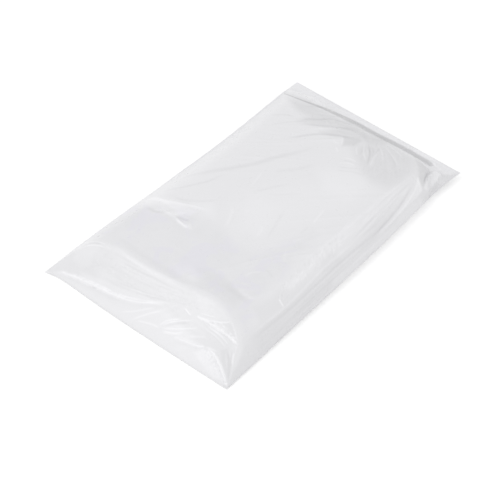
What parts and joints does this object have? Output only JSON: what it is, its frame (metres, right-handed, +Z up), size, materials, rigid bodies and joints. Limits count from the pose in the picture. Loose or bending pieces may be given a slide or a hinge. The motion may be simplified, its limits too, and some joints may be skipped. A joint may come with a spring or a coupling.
{
  "type": "plastic produce bag",
  "caption": "Filled and closed produce bag of thin milky film, a soft flat pillow with film corners, for packing and storing loose goods.",
  "frame": {"origin": "under the middle of the bag's outline, on the surface that it lies on", "axes": "+Y along the bag from its sealed end to its folded end, +X across it, +Z up through its depth"},
  "size_m": [0.298, 0.486, 0.044],
  "materials": {
    "film": "thin milky polyethylene film, softly glossy, with fine creases over a white filling"
  },
  "bodies": {
    "root": {"filled_bag": "film"}
  },
  "joints": []
}
